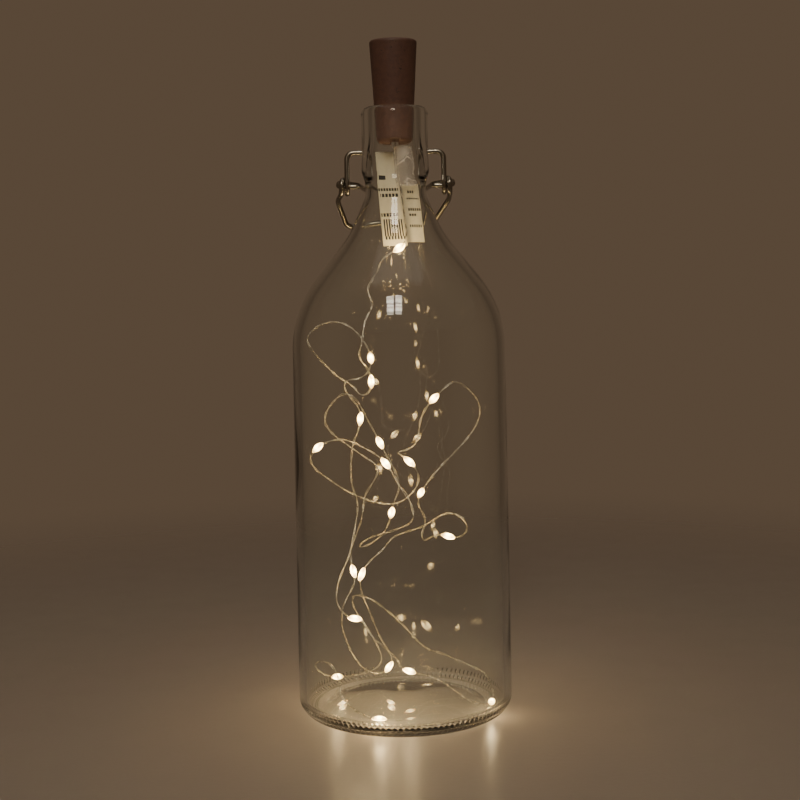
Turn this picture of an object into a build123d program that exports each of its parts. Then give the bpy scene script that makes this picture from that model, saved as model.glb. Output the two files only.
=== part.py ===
"""Cork bottle light: a swing-top bottle with a battery light plug and its string of lights.

The frame has Z up and its origin in the middle of the resting ring under the bottle. The viewer of
the photograph looks along +Y, with +X to the right. Lengths are in millimetres.
"""

import math
import os

from build123d import *

# Bottle, measured up from the resting ring.
bottle_height = 259.0
body_radius = 45.6
body_wall = 3.2
heel_radius = 8.0
foot_ring_width = 3.6
push_up_run = 11.0
push_up_height = 3.4
push_up_rounding = 20.0
floor_thickness = 4.2
floor_corner_radius = 4.5

# Neck, measured down from the rim.
finish_length = 30.5
finish_radius = 14.4
rim_rounding = 2.6
lip_radius = 15.2
lip_length = 3.8
lip_under_bevel = 1.2
lip_top_bevel = 0.6
neck_radius = 13.0
neck_length = 8.0
neck_rounding = 10.0
mouth_radius = 8.9
mouth_rounding = 1.3
mouth_length = 14.0
throat_radius = 10.8
throat_drop = 17.0
flare_radius = 20.3
flare_drop = 16.5
flare_rounding = 45.0
shoulder_drop = 31.5
shoulder_rounding = 50.0
bore_rounding = 20.0

# Side dimples that the lever turns in.
pivot_drop = 19.5
dimple_radius = 1.45
dimple_depth = 2.6
dimple_mouth_radius = 2.3
dimple_mouth_depth = 1.0

# Closure wires.
closure_wire = 2.2
wire_sides = 8
pivot_engagement = 1.9
lever_reach = 20.8
lever_bend = 3.0
eye_drop = 14.6
eye_radius = 3.0
eye_bend = 2.8
eye_gap = 0.2
handle_bulge_out = 1.0
handle_bulge_back = 7.5
handle_bulge_drop = 5.8
handle_bulge_rounding = 8.0
handle_end_half = 18.7
handle_end_skew = 3.1
handle_end_drop = 16.8
handle_end_clearance = 0.4
handle_end_rounding = 3.6
bail_tail = 5.2
bail_hook_gap = 0.4
bail_hook_back = 5.0
bail_hook_rise = 2.0
bail_hook_bend = 2.2
bail_elbow_half = 16.6
bail_elbow_back = 11.0
bail_elbow_rise = 1.2
bail_elbow_rounding = 5.0
bail_end_half = 12.0
bail_length = 44.2
bail_fall = 0.6
bail_end_rounding = 6.0

# Light plug, measured from the rim.
plug_head = 28.5
plug_depth = 15.5
plug_top_radius = 10.3
plug_bottom_radius = 7.7
plug_top_rounding = 2.5
plug_bottom_rounding = 2.2
shell_floor = 3.0
shell_bore_radius = 7.2
board_cavity_height = 3.5
board_cavity_radius = 4.6
outlet_radius = 1.3
outlet_groove_width = 3.6
outlet_groove_depth = 1.6

# Cap, switch and cell holder, which draw out of the plug together.
cap_radius = 8.4
cap_thickness = 3.0
cap_gap = 0.2
cap_edge_rounding = 0.6
finger_notch_width = 5.0
finger_notch_depth = 1.0
finger_notch_reach = 1.4
running_gap = 0.25
seat_gap = 0.1
holder_wall = 1.2
holder_foot_gap = 1.3
pocket_gap = 0.15
cell_radius = 5.8
cell_height = 5.4
cell_count = 3
cell_rim_step = 0.5
cell_spacing = 0.02
spring_height = 2.6
spring_width = 3.0
spring_thickness = 0.3
plate_radius = 4.6
plate_thickness = 0.35
rail_width = 2.0
rail_thickness = 0.3
rail_groove_depth = 0.6
finger_thickness = 0.25
finger_height = 5.5
switch_length = 8.4
switch_width = 4.2
switch_height = 5.0
slider_length = 2.4
slider_width = 2.0
slider_travel = 2.2
slider_proud = 0.5
slider_rib = 0.3

# Circuit board and leads.
board_thickness = 1.0
board_gap = 0.3
resistor_length = 2.0
resistor_width = 1.25
resistor_height = 0.55
resistor_offset = 3.0
lead_radius = 0.5
lead_sides = 6
lead_spacing = 4.4
lead_exit_spacing = 1.3
lead_straight = 0.7
seal_blob_radius = 2.2
seal_blob_height = 0.9

# String of lights.
string_diameter = 0.9
string_sides = 4
bead_length = 6.4
bead_radius = 1.75
bead_sides = 8
bead_neck_radius = 0.65
chip_length = 1.6
chip_width = 1.0
chip_height = 0.6
arc_reach_share = 0.45

# Flag label, measured down from the rim.
leaf_thickness = 0.25
leaf_bow = 1.1
leaf_back = 1.0
left_leaf_top_drop = 18.8
left_leaf_height = 42.6
left_leaf_width = 9.2
left_leaf_bottom_centre = -0.5
left_leaf_lean = 3.7
right_leaf_top_drop = 33.2
right_leaf_height = 26.0
right_leaf_width = 6.9
right_leaf_bottom_centre = 8.6
right_leaf_lean = 2.0
film_top_drop = 16.8
film_height = 17.4
film_width = 9.2
film_bottom_centre = 4.9
film_lean = 1.6
film_front = 4.2
film_gap = 0.3

# Places worked out from the sizes above.
rim = bottle_height
finish_base = rim - finish_length
neck_base = finish_base - neck_length
flare_height = neck_base - flare_drop
shoulder_height = flare_height - shoulder_drop
inner_radius = body_radius - body_wall
foot_ring_inner = body_radius - heel_radius - foot_ring_width
push_up_radius = foot_ring_inner - push_up_run
pivot_height = rim - pivot_drop
eye_height = pivot_height - eye_drop
wire_radius = closure_wire / 2
plug_top = rim + plug_head
plug_bottom = rim - plug_depth
string_radius = string_diameter / 2

# The string's route from the plug's outlet to its last light, in millimetres. A light sits on the
# run that starts at each point in the list of lights.
route = [
    (0.5, 0, 237.5), (2, -2, 228), (3, -2, 213.5),
    (5, -3, 199), (-3, -2, 195),
    (-7, 2, 192.5), (-9, 6, 186.5), (-14, 4, 181), (-10, 0, 174.5), (-14.5, -4, 167.5),
    (-15.5, -8, 158.5), (-17.5, -10, 152),
    (-12, -9, 146), (-12, -6, 137.5),
    (-17, 2, 134.5), (-20.5, 5, 139.5), (-27, 0, 143.5), (-33, -7, 151), (-38.5, -10, 158.5),
    (-38, -4, 163.5), (-29.5, 3, 167.5), (-20, 3, 165),
    (-12.5, -6, 156), (-11.5, -13, 148),
    (-15.5, -20, 144), (-23, -18, 143.5), (-23, -10, 137.5),
    (-16.5, -6, 130), (-17.5, -4, 121.5),
    (-21, 2, 114), (-22, 5, 104), (-22, 9, 95), (-19, 9, 89), (-20.5, 4, 76.5), (-22.5, -1, 70),
    (-22, -5, 65), (-20, -6, 57),
    (-22.5, -10, 53), (-26, -14, 47), (-26, -12, 36.5), (-21, -2, 22), (-16.5, 3, 16),
    (-9.5, 8, 13), (-4.5, 7, 20),
    (-10, 3, 29), (-14.5, 0, 42),
    (-19.5, 1, 54), (-16, 2, 62.5),
    (-8, 6, 68), (-4.5, 8, 73), (4, 7, 75.5), (11, 0, 79.5), (18.5, -6, 85.5), (25, -9, 84.5),
    (28, -10.5, 79),
    (24, -9.5, 74.5), (14.5, -6, 76.5),
    (9.5, 0.5, 72), (8, 9, 72.5), (11, 13.5, 79),
    (6, 8, 87.5), (10.5, 2, 96.5),
    (17, 4, 103.5), (26.5, 12, 111), (35, 16, 120), (36, 10, 129.5), (29.5, 2, 137.5),
    (23.5, -4, 141.5),
    (18, -6, 137.5), (11, -3, 130),
    (8.5, 2, 124), (7.5, 4, 115), (4.5, 7.5, 111), (-2, 4, 110),
    (0.5, -2.5, 109.5), (6.5, -5.5, 104.5),
    (8, -3, 98), (2.5, 3, 90), (-4.5, 8, 86.5), (-14, 5, 89), (-24.5, 1, 94.5),
    (-33.5, -2, 101.5), (-38.5, -6, 107),
    (-37.5, -11, 112), (-31.5, -14, 117.5),
    (-23.5, -8, 118), (-15, -1, 112.5),
    (-9, 2, 108.5), (-4.5, 1, 103),
    (-1.5, -4, 97.5), (4.5, -8, 89.5), (5, -12, 82.5), (-2.5, -10, 79), (-14, -6, 75.5),
    (-19.5, 0, 70.5), (-16, 6, 69), (-9, 4, 74),
    (-5.5, -2, 80.5), (-3.5, -6, 90),
    (-0.5, -12, 97.5), (-3, -10, 105),
    (-6.5, -8, 111), (-11, -8, 120.5),
    (-15, -13, 128.5), (-17.5, -18, 135), (-22.5, -17, 138.5), (-28.5, -11, 134),
    (-33, -4, 126), (-30.5, 4, 119), (-24, 12, 113), (-15.5, 14, 106.5), (-9.5, 12, 103),
    (-12, 14, 96.5), (-17, 16, 89.5), (-17.5, 12, 80.5), (-21, 10, 72), (-24, 4, 63.5),
    (-28, -2, 56.5), (-29, -6, 48),
    (-24.5, -8, 42), (-17, -8, 41),
    (-14.5, -12, 35.5), (-7, -14, 29), (-3, -10, 24.5),
    (-2, -6.5, 19.5), (5.5, -4, 16.5),
    (12.5, -2, 14.5), (20.5, -8, 10.5), (27, -17, 7.5),
    (34, -17.5, 6.5), (37, -8.5, 6.5),
    (38, 2, 8), (36, 13, 12), (28.5, 20, 13.5), (17.5, 20, 18.5), (8.5, 16, 22), (-1, 12, 34.5),
    (-12, 6, 45.5), (-21, 10, 48.5), (-23.5, 16, 43), (-18.5, 20, 33), (-12, 24, 22),
    (-9.5, 26, 13.5), (-16.5, 22, 10),
    (-25.5, 14, 11), (-34.5, 8, 12.5),
    (-39, -2, 19), (-36.5, -12, 25), (-30.5, -18, 25.5), (-27, -20, 19.5), (-26.5, -24, 12),
    (-15.5, -33, 6.3), (-6, -34, 6.2),
    (-1.5, -33.5, 5.2),
]
lights = [
    (5, -3, 199), (-12, -9, 146), (-12.5, -6, 156), (-16.5, -6, 130), (-22, -5, 65),
    (-9.5, 8, 13), (-19.5, 1, 54), (24, -9.5, 74.5), (6, 8, 87.5), (18, -6, 137.5),
    (0.5, -2.5, 109.5), (-37.5, -11, 112), (-9, 2, 108.5), (-5.5, -2, 80.5), (-6.5, -8, 111),
    (-24.5, -8, 42), (-2, -6.5, 19.5), (34, -17.5, 6.5), (-25.5, 14, 11), (-15.5, -33, 6.3),
]


def half_turn(before, corner, after):
    """Half the angle, in radians, by which a route turns at a corner."""
    arriving = Vector(*corner) - Vector(*before)
    leaving = Vector(*after) - Vector(*corner)
    return math.radians(arriving.get_angle(leaving)) / 2


def widest_radii(points):
    """The largest arc that the two runs at each corner of a route allow."""
    radii = []
    for before, corner, after in zip(points, points[1:], points[2:]):
        shorter = min(math.dist(before, corner), math.dist(corner, after))
        radii.append(arc_reach_share * shorter / math.tan(half_turn(before, corner, after)))
    return radii


def section_plane(path):
    """The plane square to a path at its start."""
    return Plane(origin=path @ 0, z_dir=path % 0)


# Glass bottle: one outline turned about the axis, with two dimples for the lever's ends.
outlet_height = plug_bottom + outlet_groove_depth
floor_centre = push_up_height + floor_thickness
bottle_outline = [
    (0, push_up_height, 0),
    (push_up_radius, push_up_height, push_up_rounding),
    (foot_ring_inner, 0, 0),
    (body_radius, 0, heel_radius),
    (body_radius, shoulder_height, shoulder_rounding),
    (flare_radius, flare_height, flare_rounding),
    (neck_radius, neck_base, neck_rounding),
    (neck_radius, finish_base, 0),
    (lip_radius, finish_base + lip_under_bevel, 0),
    (lip_radius, finish_base + lip_length - lip_top_bevel, 0),
    (finish_radius, finish_base + lip_length, 0),
    (finish_radius, rim, rim_rounding),
    (mouth_radius, rim, mouth_rounding),
    (mouth_radius, rim - mouth_length, bore_rounding),
    (throat_radius, rim - mouth_length - throat_drop, bore_rounding),
    (throat_radius, neck_base, neck_rounding),
    (flare_radius - body_wall, flare_height - body_wall / 2, flare_rounding),
    (inner_radius, shoulder_height - body_wall / 2, shoulder_rounding - body_wall),
    (inner_radius, floor_thickness, floor_corner_radius),
    (foot_ring_inner, floor_thickness, push_up_rounding / 2),
    (push_up_radius, floor_centre, push_up_rounding),
    (0, floor_centre, 0),
]
with BuildPart() as glass_bottle:
    with BuildSketch(Plane.XZ):
        with BuildLine():
            outline = FilletPolyline(
                *[(r, z) for r, z, _ in bottle_outline],
                radius=[rounding for _, _, rounding in bottle_outline[1:-1]],
            )
            Line(outline @ 1, outline @ 0)
        make_face()
    revolve(axis=Axis.Z)
    for side in (1, -1):
        surface = Plane(
            origin=(side * finish_radius, 0, pivot_height), x_dir=(0, 1, 0), z_dir=(-side, 0, 0)
        )
        with Locations(surface):
            Cylinder(
                dimple_radius,
                2 * dimple_depth,
                mode=Mode.SUBTRACT,
            )
            Cone(
                2 * dimple_mouth_radius - dimple_radius,
                dimple_radius,
                2 * dimple_mouth_depth,
                mode=Mode.SUBTRACT,
            )
glass_bottle.part.label = "glass_bottle"

# Lever: one wire from dimple to dimple, with an eye at the foot of each side arm and a handle
# loop that rests on the back of the shoulder.
eye_corner_shares = [(0, -1, -1), (0.05, 1, -1), (0.3, 1, 1), (1, -1, 1), (1, -1, -1)]
eye_shift = closure_wire + eye_gap
handle_bulge = lever_reach + eye_shift + handle_bulge_out
shoulder_slope = (flare_radius - neck_radius) / flare_drop
handle_end_height = eye_height - handle_end_drop
handle_end_back = (
    flare_radius
    - shoulder_slope * (handle_end_height - flare_height)
    + wire_radius
    + handle_end_clearance
)


def lever_side(side):
    """One side of the lever from its pivot end to the handle's closed end."""
    steps = [
        (side * (finish_radius - pivot_engagement), 0, pivot_height, 0),
        (side * lever_reach, 0, pivot_height, lever_bend),
    ]
    for out, back, up in eye_corner_shares:
        corner_x = side * (lever_reach + out * eye_shift)
        steps.append((corner_x, back * eye_radius, eye_height + up * eye_radius, eye_bend))
    bulge_skew = handle_end_skew * handle_bulge_back / handle_end_back
    steps.append((
        side * handle_bulge - bulge_skew,
        handle_bulge_back,
        eye_height - handle_bulge_drop,
        handle_bulge_rounding,
    ))
    steps.append((
        side * handle_end_half - handle_end_skew,
        handle_end_back,
        handle_end_height,
        handle_end_rounding,
    ))
    return steps


lever_points = lever_side(-1) + lever_side(1)[::-1]
with BuildPart() as lever_wire:
    with BuildLine() as lever_path:
        FilletPolyline(
            *[point[:3] for point in lever_points],
            radius=[point[3] for point in lever_points[1:-1]],
        )
    with BuildSketch(section_plane(lever_path.line)):
        RegularPolygon(wire_radius, wire_sides)
    sweep()
lever_wire.part.label = "lever_wire"

# Stopper bail: hooked in the eyes from outside with its ends turned inward, and laid back behind
# the neck.
bail_hook = lever_reach + eye_shift / 2 + closure_wire + bail_hook_gap


def bail_side(side):
    """One side of the bail from its turned-in end to the cross part."""
    steps = [
        (lever_reach - bail_tail, 0, eye_height, 0),
        (bail_hook, 0, eye_height, bail_hook_bend),
        (bail_hook, bail_hook_back, eye_height + bail_hook_rise, bail_hook_bend),
        (bail_elbow_half, bail_elbow_back, eye_height + bail_elbow_rise, bail_elbow_rounding),
        (bail_end_half, bail_length, eye_height - bail_fall, bail_end_rounding),
    ]
    return [(side * x, y, z, rounding) for x, y, z, rounding in steps]


bail_points = bail_side(-1) + bail_side(1)[::-1]
with BuildPart() as stopper_bail:
    with BuildLine() as bail_path:
        FilletPolyline(
            *[point[:3] for point in bail_points],
            radius=[point[3] for point in bail_points[1:-1]],
        )
    with BuildSketch(section_plane(bail_path.line)):
        RegularPolygon(wire_radius, wire_sides)
    sweep()
stopper_bail.part.label = "stopper_bail"

# Plug shell: a tapered cup with a round bore for the cell holder, a recess for the cap, and a
# groove across its foot where the string leaves.
shelf_height = plug_bottom + shell_floor + board_cavity_height
recess_floor = plug_top - cap_thickness - seat_gap
recess_radius = cap_radius + cap_gap
with BuildPart() as cork_shell:
    with BuildSketch(Plane.XZ):
        with BuildLine():
            FilletPolyline(
                (0, plug_bottom),
                (plug_bottom_radius, plug_bottom),
                (plug_top_radius, plug_top),
                (recess_radius, plug_top),
                (recess_radius, recess_floor),
                (shell_bore_radius, recess_floor),
                (shell_bore_radius, shelf_height),
                (board_cavity_radius, shelf_height),
                (board_cavity_radius, plug_bottom + shell_floor),
                (0, plug_bottom + shell_floor),
                radius=[plug_bottom_rounding, plug_top_rounding / 2, 0, 0, 0, 0, 0, 0],
            )
            Line((0, plug_bottom + shell_floor), (0, plug_bottom))
        make_face()
    revolve(axis=Axis.Z)
    with Locations((0, 0, plug_bottom)):
        Cylinder(outlet_radius, 2 * (shell_floor + seat_gap), mode=Mode.SUBTRACT)
        Box(
            outlet_groove_width,
            2 * plug_top_radius,
            2 * outlet_groove_depth,
            mode=Mode.SUBTRACT,
        )
cork_shell.part.label = "cork_shell"

# Circuit board on the shell's shelf, with its resistor and two sprung contacts.
board_top = shelf_height + seat_gap + board_thickness
board_radius = shell_bore_radius - board_gap
with BuildPart() as circuit_board:
    with BuildSketch(Plane.XY.offset(shelf_height + seat_gap)):
        Circle(board_radius)
        with Locations((lead_spacing / 2, 0), (-lead_spacing / 2, 0)):
            Circle(lead_radius, mode=Mode.SUBTRACT)
    extrude(amount=board_thickness)
circuit_board.part.label = "circuit_board"

with BuildPart() as board_resistor:
    with Locations((0, resistor_offset, board_top)):
        Box(
            resistor_length,
            resistor_width,
            resistor_height,
            align=(Align.CENTER, Align.CENTER, Align.MIN),
        )
board_resistor.part.label = "board_resistor"

# Cell holder: a trough open to the front, with a pocket for the cells and one for the switch.
holder_radius = shell_bore_radius - running_gap
holder_bottom = board_top + holder_foot_gap
holder_top = recess_floor + seat_gap
pocket_radius = cell_radius + pocket_gap
pocket_bottom = holder_bottom + holder_wall
cells_bottom = pocket_bottom + spring_height
cells_top = cells_bottom + cell_count * (cell_height + cell_spacing)
pocket_top = cells_top + plate_thickness + 2 * pocket_gap
groove_floor = holder_radius - rail_groove_depth
rail_outer = groove_floor + rail_thickness
with BuildPart() as battery_carrier:
    with BuildSketch(Plane.XY.offset(holder_bottom)):
        Circle(holder_radius)
    extrude(amount=holder_top - holder_bottom)
    with BuildSketch(Plane.XY.offset(pocket_bottom)):
        Circle(pocket_radius)
        with Locations((0, -holder_radius / 2)):
            Rectangle(2 * pocket_radius, holder_radius + 2 * pocket_gap)
    extrude(amount=pocket_top - pocket_bottom, mode=Mode.SUBTRACT)
    with Locations((0, 0, holder_top)):
        Box(
            switch_length + 2 * pocket_gap,
            switch_width + 2 * pocket_gap,
            2 * (switch_height + pocket_gap),
            mode=Mode.SUBTRACT,
        )
    with Locations(
        (holder_radius, 0, holder_bottom),
        (-holder_radius, 0, holder_bottom),
    ):
        Box(
            2 * rail_groove_depth,
            rail_width + 2 * running_gap,
            2 * (pocket_top - holder_bottom),
            mode=Mode.SUBTRACT,
        )
battery_carrier.part.label = "battery_carrier"

# Contact rails in the holder's side grooves.
rail_bottom = holder_bottom + pocket_gap
with BuildPart() as carrier_rails:
    with Locations(
        (groove_floor + rail_thickness / 2, 0, rail_bottom),
        (-groove_floor - rail_thickness / 2, 0, rail_bottom),
    ):
        Box(
            rail_thickness,
            rail_width,
            pocket_top - rail_bottom,
            align=(Align.CENTER, Align.CENTER, Align.MIN),
        )
carrier_rails.part.label = "carrier_rails"

# Sprung contacts that stand on the board and bear on the rails.
finger_place = rail_outer + seat_gap
with BuildPart() as board_contacts:
    for side in (1, -1):
        with BuildSketch(Plane.XZ.offset(-rail_width / 2)):
            with BuildLine():
                Polyline(
                    (side * (finger_place - rail_width), board_top),
                    (side * (finger_place + finger_thickness), board_top),
                    (side * (finger_place + finger_thickness), board_top + finger_height),
                    (side * finger_place, board_top + finger_height),
                    (side * finger_place, board_top + finger_thickness),
                    (side * (finger_place - rail_width), board_top + finger_thickness),
                    close=True,
                )
            make_face()
        extrude(amount=rail_width)
board_contacts.part.label = "board_contacts"

# Three button cells, each a can with a smaller top.
with BuildPart() as button_cells:
    for layer in range(cell_count):
        can_bottom = cells_bottom + layer * (cell_height + cell_spacing)
        with BuildSketch(Plane.XY.offset(can_bottom)):
            Circle(cell_radius - cell_rim_step)
        extrude(amount=cell_rim_step)
        with BuildSketch(Plane.XY.offset(can_bottom + cell_rim_step)):
            Circle(cell_radius)
        extrude(amount=cell_height - cell_rim_step)
button_cells.part.label = "button_cells"

# Sprung strip under the cells, an arch with two feet.
with BuildPart() as cell_spring:
    with BuildSketch(Plane.XZ.offset(-spring_width / 2)):
        with BuildLine():
            arch = ThreePointArc(
                (-plate_radius, pocket_bottom),
                (0, cells_bottom - seat_gap),
                (plate_radius, pocket_bottom),
            )
            inner = ThreePointArc(
                (plate_radius - 2 * spring_thickness, pocket_bottom),
                (0, cells_bottom - seat_gap - spring_thickness),
                (-plate_radius + 2 * spring_thickness, pocket_bottom),
            )
            Line(arch @ 1, inner @ 0)
            Line(inner @ 1, arch @ 0)
        make_face()
    extrude(amount=spring_width)
cell_spring.part.label = "cell_spring"

# Round plate over the cells.
with BuildPart() as cell_plate:
    with BuildSketch(Plane.XY.offset(cells_top + pocket_gap)):
        Circle(plate_radius)
    extrude(amount=plate_thickness)
cell_plate.part.label = "cell_plate"

# Switch under the cap, with a channel for its knob.
knob_start = -slider_travel / 2
slot_length = slider_length + slider_travel + 2 * cap_gap
with BuildPart() as switch_body:
    with Locations((0, 0, holder_top)):
        Box(
            switch_length,
            switch_width,
            switch_height,
            align=(Align.CENTER, Align.CENTER, Align.MAX),
        )
        Box(
            slot_length,
            slider_width + 2 * cap_gap,
            cap_thickness,
            mode=Mode.SUBTRACT,
        )
switch_body.part.label = "switch_body"

slider_bottom = holder_top - cap_thickness / 2 + seat_gap
with BuildPart() as switch_slider:
    with Locations((knob_start, 0, slider_bottom)):
        Box(
            slider_length,
            slider_width,
            plug_top + slider_proud - slider_bottom,
            align=(Align.CENTER, Align.CENTER, Align.MIN),
        )
    with Locations((knob_start, 0, plug_top + slider_proud)):
        with GridLocations(slider_length / 3, 0, 3, 1):
            Box(slider_rib, slider_width, 2 * slider_rib, mode=Mode.SUBTRACT)
switch_slider.part.label = "switch_slider"

# Cap inset in the shell's top, with a slot for the knob and two finger notches.
with BuildPart() as top_cap:
    with BuildSketch(Plane.XY.offset(holder_top)):
        Circle(cap_radius)
        Rectangle(slot_length, slider_width + 2 * cap_gap, mode=Mode.SUBTRACT)
    extrude(amount=plug_top - holder_top)
    chamfer(
        top_cap.edges().filter_by(GeomType.CIRCLE).group_by(Axis.Z)[-1],
        length=cap_edge_rounding,
    )
    with Locations(
        (0, cap_radius, plug_top),
        (0, -cap_radius, plug_top),
    ):
        Box(
            finger_notch_width,
            2 * finger_notch_reach,
            2 * finger_notch_depth,
            mode=Mode.SUBTRACT,
        )
top_cap.part.label = "top_cap"

# Two leads from the board's holes to the seal in the outlet.
seal_top = plug_bottom + shell_floor + seal_blob_height
lead_top = board_top
with BuildPart() as lead_wires:
    for side in (1, -1):
        lead_points = [
            (side * lead_spacing / 2, 0, lead_top),
            (side * lead_spacing / 2, 0, shelf_height - lead_straight),
            (side * lead_exit_spacing / 2, 0, seal_top + lead_straight),
            (side * lead_exit_spacing / 2, 0, seal_top),
        ]
        with BuildLine() as lead_path:
            FilletPolyline(*lead_points, radius=lead_straight)
        with BuildSketch(section_plane(lead_path.line)):
            RegularPolygon(lead_radius, lead_sides)
        sweep()
lead_wires.part.label = "lead_wires"

# Glue in the outlet, with a blob on the shell's floor.
with BuildPart() as exit_seal:
    with BuildSketch(Plane.XY.offset(outlet_height)):
        Circle(outlet_radius)
    extrude(amount=plug_bottom + shell_floor - outlet_height)
    with BuildSketch(Plane.XY.offset(plug_bottom + shell_floor)):
        Circle(seal_blob_radius)
    extrude(amount=seal_blob_height)
exit_seal.part.label = "exit_seal"

# String of lights: one twin wire along the route.
string_points = [(0, 0, outlet_height)] + route
string_radii = widest_radii(string_points)
with BuildPart() as fairy_wire:
    with BuildLine() as string_path:
        FilletPolyline(*string_points, radius=string_radii)
    with BuildSketch(section_plane(string_path.line)):
        RegularPolygon(string_radius, string_sides)
    sweep()
fairy_wire.part.label = "fairy_wire"


def light_plane(start):
    """A plane in the middle of a light's run, with X along the wire."""
    place = route.index(start)
    first, last = Vector(*route[place]), Vector(*route[place + 1])
    return Plane(
        origin=(first + last) / 2,
        x_dir=last - first,
        z_dir=(last - first).cross(Vector(0, 0, 1)),
    )


# Resin drops round the wire, each with a seat for its chip.
chip_lift = string_radius + chip_height / 2
bead_section_shares = [-1 / 2, -1 / 6, 1 / 6, 1 / 2]
bead_section_radii = [bead_neck_radius, bead_radius, bead_radius, bead_neck_radius]
with BuildPart() as led_beads:
    for start in lights:
        plane = light_plane(start)
        for share, radius in zip(bead_section_shares, bead_section_radii):
            place = plane.origin + plane.x_dir * (share * bead_length)
            with BuildSketch(Plane(origin=place, x_dir=plane.z_dir, z_dir=plane.x_dir)):
                RegularPolygon(radius, bead_sides)
        loft(ruled=True)
        with Locations(plane.offset(chip_lift)):
            Box(chip_length, chip_width, chip_height, mode=Mode.SUBTRACT)
led_beads.part.label = "led_beads"

# Light chips, one seated in each drop on the wire.
with BuildPart() as led_chips:
    for start in lights:
        with Locations(light_plane(start).offset(chip_lift)):
            Box(chip_length, chip_width, chip_height)
led_chips.part.label = "led_chips"


def leaning_sheet(profile, bottom, height, lean):
    """A thin sheet whose bowed profile leans to the left on its way up."""
    with BuildPart() as sheet:
        with BuildSketch(Plane.XY.offset(bottom)):
            with BuildLine():
                edge = ThreePointArc(*profile)
                offset(edge, amount=leaf_thickness, side=Side.RIGHT)
            make_face()
        extrude(amount=math.hypot(lean, height), dir=(-lean, 0, height))
    return sheet.part


def leaf_profile(centre, width):
    """The bowed profile of a leaf, with its hollow side to the front."""
    return [
        (centre - width / 2, leaf_back),
        (centre, leaf_back + leaf_bow),
        (centre + width / 2, leaf_back),
    ]


# Flag label: two printed leaves behind the wire, and clear film folded round its front.
label_left_leaf = leaning_sheet(
    leaf_profile(left_leaf_bottom_centre, left_leaf_width),
    rim - left_leaf_top_drop - left_leaf_height,
    left_leaf_height,
    left_leaf_lean,
)
label_left_leaf.label = "label_left_leaf"

label_right_leaf = leaning_sheet(
    leaf_profile(right_leaf_bottom_centre, right_leaf_width),
    rim - right_leaf_top_drop - right_leaf_height,
    right_leaf_height,
    right_leaf_lean,
)
label_right_leaf.label = "label_right_leaf"

film_back = leaf_back - leaf_thickness - film_gap
label_film = leaning_sheet(
    [
        (film_bottom_centre - film_width / 2, film_back),
        (film_bottom_centre, -film_front),
        (film_bottom_centre + film_width / 2, film_back),
    ],
    rim - film_top_drop - film_height,
    film_height,
    film_lean,
)
label_film.label = "label_film"

# Write each piece to its own file.
os.makedirs("parts", exist_ok=True)
pieces = [
    glass_bottle.part,
    lever_wire.part,
    stopper_bail.part,
    cork_shell.part,
    circuit_board.part,
    board_resistor.part,
    battery_carrier.part,
    carrier_rails.part,
    board_contacts.part,
    button_cells.part,
    cell_spring.part,
    cell_plate.part,
    switch_body.part,
    switch_slider.part,
    top_cap.part,
    lead_wires.part,
    exit_seal.part,
    fairy_wire.part,
    led_beads.part,
    led_chips.part,
    label_film,
    label_left_leaf,
    label_right_leaf,
]
for piece in pieces:
    export_step(piece, f"parts/{piece.label}.step")
    print(piece.label, round(piece.volume, 1))
string_section = string_sides / 2 * math.sin(2 * math.pi / string_sides) * string_radius**2
print("string radii", [round(radius, 1) for radius in string_radii])
string_length = sum(edge.length for edge in string_path.edges())
print("string length", round(string_length, 1))
volume_share = fairy_wire.part.volume / string_section / string_length
print("string volume share", round(volume_share, 4))
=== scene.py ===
"""Cork bottle light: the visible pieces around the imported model, and the stage.

Lengths are in metres. The frame has Z up and its origin under the middle of the bottle. The
camera looks along +Y, with +X to its right.
"""

import math
import random

import bmesh
import bpy
from bpy.props import FloatProperty, FloatVectorProperty, IntProperty, PointerProperty
from bpy.types import Operator, Panel, PropertyGroup
from mathutils import Matrix, Quaternion, Vector, noise


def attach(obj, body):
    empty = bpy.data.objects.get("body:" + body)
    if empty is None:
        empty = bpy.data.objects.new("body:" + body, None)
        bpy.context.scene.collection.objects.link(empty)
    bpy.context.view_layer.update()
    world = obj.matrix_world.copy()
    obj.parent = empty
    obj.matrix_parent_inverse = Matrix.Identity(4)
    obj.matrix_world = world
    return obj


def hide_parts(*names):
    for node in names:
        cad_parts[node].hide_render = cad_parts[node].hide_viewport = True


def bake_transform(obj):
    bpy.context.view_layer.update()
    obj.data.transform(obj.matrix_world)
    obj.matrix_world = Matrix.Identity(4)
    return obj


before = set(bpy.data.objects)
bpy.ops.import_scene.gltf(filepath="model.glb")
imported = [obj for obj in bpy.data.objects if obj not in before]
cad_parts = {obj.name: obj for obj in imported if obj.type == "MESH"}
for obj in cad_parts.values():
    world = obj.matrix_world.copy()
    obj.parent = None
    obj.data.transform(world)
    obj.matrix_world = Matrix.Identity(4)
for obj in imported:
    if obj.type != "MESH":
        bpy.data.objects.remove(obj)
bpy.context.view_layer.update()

bl_info = {
    "name": "Cork bottle light",
    "version": (1, 0, 0),
    "blender": (4, 5, 0),
    "location": "View3D > Sidebar > Bottle light",
    "description": "Builds a swing-top bottle with a cork light and its string of warm lights",
    "category": "Object",
}

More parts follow.
